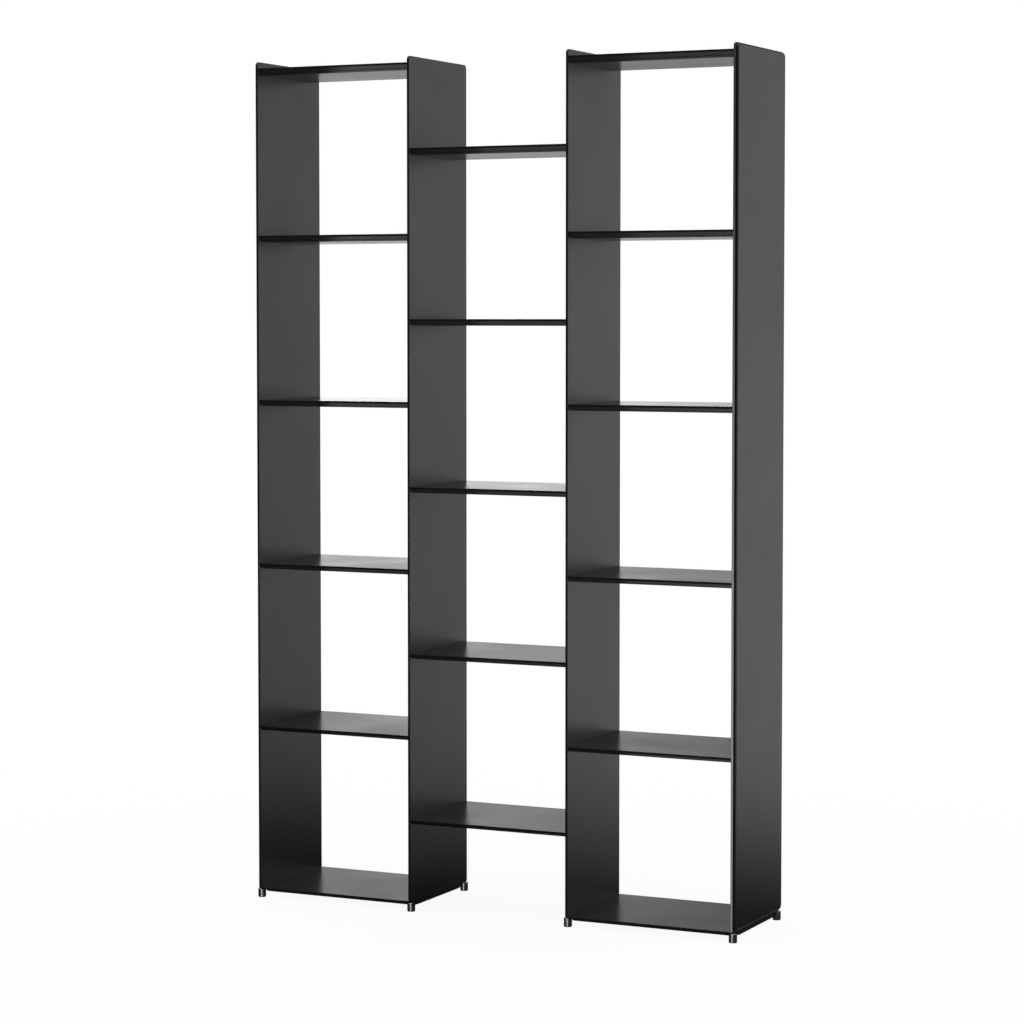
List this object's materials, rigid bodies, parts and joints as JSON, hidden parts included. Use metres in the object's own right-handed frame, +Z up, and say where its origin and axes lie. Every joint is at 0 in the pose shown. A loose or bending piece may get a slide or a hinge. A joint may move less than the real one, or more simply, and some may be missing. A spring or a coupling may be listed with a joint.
{
  "type": "open double-sided shelving",
  "caption": "Open double-sided shelving: thin plate uprights, staggered hollow shelves reached from both sides, and round screw feet.",
  "frame": {"origin": "on the floor, at the middle of the footprint of the eight feet", "axes": "+X along the shelving, +Y from the front side to the rear side, +Z up"},
  "size_m": [1.24, 0.3, 2.01],
  "materials": {
    "painted_plate": "charcoal fine satin powder coat on aluminium plate",
    "painted_shelf": "charcoal fine satin powder coat on an aluminium extrusion",
    "mill_aluminium": "plain mill-finish extruded bar",
    "zinc_steel": "zinc-plated steel screws and studs",
    "black_foot": "turned steel, glossy black",
    "glide_plastic": "black nylon glide"
  },
  "bodies": {
    "frame": {"upright_1": "painted_plate", "upright_1_connectors": "mill_aluminium", "upright_2": "painted_plate", "upright_2_connectors": "mill_aluminium", "upright_3": "painted_plate", "upright_3_connectors": "mill_aluminium", "upright_4": "painted_plate", "upright_4_connectors": "mill_aluminium", "left_shelf_1": "painted_shelf", "left_shelf_2": "painted_shelf", "left_shelf_3": "painted_shelf", "left_shelf_4": "painted_shelf", "left_shelf_5": "painted_shelf", "left_shelf_6": "painted_shelf", "left_lock_screws": "zinc_steel", "centre_shelf_1": "painted_shelf", "centre_shelf_2": "painted_shelf", "centre_shelf_3": "painted_shelf", "centre_shelf_4": "painted_shelf", "centre_shelf_5": "painted_shelf", "centre_lock_screws": "zinc_steel", "right_shelf_1": "painted_shelf", "right_shelf_2": "painted_shelf", "right_shelf_3": "painted_shelf", "right_shelf_4": "painted_shelf", "right_shelf_5": "painted_shelf", "right_shelf_6": "painted_shelf", "right_lock_screws": "zinc_steel", "right_end_cover": "painted_plate", "cover_screws": "zinc_steel", "foot_studs": "zinc_steel"},
    "foot_1_front": {"foot_1_front": "black_foot"},
    "glide_1_front": {"glide_1_front": "glide_plastic"},
    "foot_1_rear": {"foot_1_rear": "black_foot"},
    "glide_1_rear": {"glide_1_rear": "glide_plastic"},
    "foot_2_front": {"foot_2_front": "black_foot"},
    "glide_2_front": {"glide_2_front": "glide_plastic"},
    "foot_2_rear": {"foot_2_rear": "black_foot"},
    "glide_2_rear": {"glide_2_rear": "glide_plastic"},
    "foot_3_front": {"foot_3_front": "black_foot"},
    "glide_3_front": {"glide_3_front": "glide_plastic"},
    "foot_3_rear": {"foot_3_rear": "black_foot"},
    "glide_3_rear": {"glide_3_rear": "glide_plastic"},
    "foot_4_front": {"foot_4_front": "black_foot"},
    "glide_4_front": {"glide_4_front": "glide_plastic"},
    "foot_4_rear": {"foot_4_rear": "black_foot"},
    "glide_4_rear": {"glide_4_rear": "glide_plastic"}
  },
  "joints": [
    {"name": "lift_1_front", "type": "slide", "parent": "frame", "child": "glide_1_front", "axis": [0, 0, -1], "range_m": [0, 0.006]},
    {"name": "turn_1_front", "type": "hinge", "parent": "glide_1_front", "child": "foot_1_front", "pos_m": [-0.6105, -0.14, 0.01], "axis": [0, 0, -1], "range_deg": [0, 2160]},
    {"name": "lift_1_rear", "type": "slide", "parent": "frame", "child": "glide_1_rear", "axis": [0, 0, -1], "range_m": [0, 0.006]},
    {"name": "turn_1_rear", "type": "hinge", "parent": "glide_1_rear", "child": "foot_1_rear", "pos_m": [-0.6105, 0.14, 0.01], "axis": [0, 0, -1], "range_deg": [0, 2160]},
    {"name": "lift_2_front", "type": "slide", "parent": "frame", "child": "glide_2_front", "axis": [0, 0, -1], "range_m": [0, 0.006]},
    {"name": "turn_2_front", "type": "hinge", "parent": "glide_2_front", "child": "foot_2_front", "pos_m": [-0.2035, -0.14, 0.01], "axis": [0, 0, -1], "range_deg": [0, 2160]},
    {"name": "lift_2_rear", "type": "slide", "parent": "frame", "child": "glide_2_rear", "axis": [0, 0, -1], "range_m": [0, 0.006]},
    {"name": "turn_2_rear", "type": "hinge", "parent": "glide_2_rear", "child": "foot_2_rear", "pos_m": [-0.2035, 0.14, 0.01], "axis": [0, 0, -1], "range_deg": [0, 2160]},
    {"name": "lift_3_front", "type": "slide", "parent": "frame", "child": "glide_3_front", "axis": [0, 0, -1], "range_m": [0, 0.006]},
    {"name": "turn_3_front", "type": "hinge", "parent": "glide_3_front", "child": "foot_3_front", "pos_m": [0.2035, -0.14, 0.01], "axis": [0, 0, -1], "range_deg": [0, 2160]},
    {"name": "lift_3_rear", "type": "slide", "parent": "frame", "child": "glide_3_rear", "axis": [0, 0, -1], "range_m": [0, 0.006]},
    {"name": "turn_3_rear", "type": "hinge", "parent": "glide_3_rear", "child": "foot_3_rear", "pos_m": [0.2035, 0.14, 0.01], "axis": [0, 0, -1], "range_deg": [0, 2160]},
    {"name": "lift_4_front", "type": "slide", "parent": "frame", "child": "glide_4_front", "axis": [0, 0, -1], "range_m": [0, 0.006]},
    {"name": "turn_4_front", "type": "hinge", "parent": "glide_4_front", "child": "foot_4_front", "pos_m": [0.6105, -0.14, 0.01], "axis": [0, 0, -1], "range_deg": [0, 2160]},
    {"name": "lift_4_rear", "type": "slide", "parent": "frame", "child": "glide_4_rear", "axis": [0, 0, -1], "range_m": [0, 0.006]},
    {"name": "turn_4_rear", "type": "hinge", "parent": "glide_4_rear", "child": "foot_4_rear", "pos_m": [0.6105, 0.14, 0.01], "axis": [0, 0, -1], "range_deg": [0, 2160]}
  ],
  "couplings": [
    {"joint": "turn_1_front", "follows": "lift_1_front", "rad_per_m": 6283.2},
    {"joint": "turn_1_rear", "follows": "lift_1_rear", "rad_per_m": 6283.2},
    {"joint": "turn_2_front", "follows": "lift_2_front", "rad_per_m": 6283.2},
    {"joint": "turn_2_rear", "follows": "lift_2_rear", "rad_per_m": 6283.2},
    {"joint": "turn_3_front", "follows": "lift_3_front", "rad_per_m": 6283.2},
    {"joint": "turn_3_rear", "follows": "lift_3_rear", "rad_per_m": 6283.2},
    {"joint": "turn_4_front", "follows": "lift_4_front", "rad_per_m": 6283.2},
    {"joint": "turn_4_rear", "follows": "lift_4_rear", "rad_per_m": 6283.2}
  ]
}
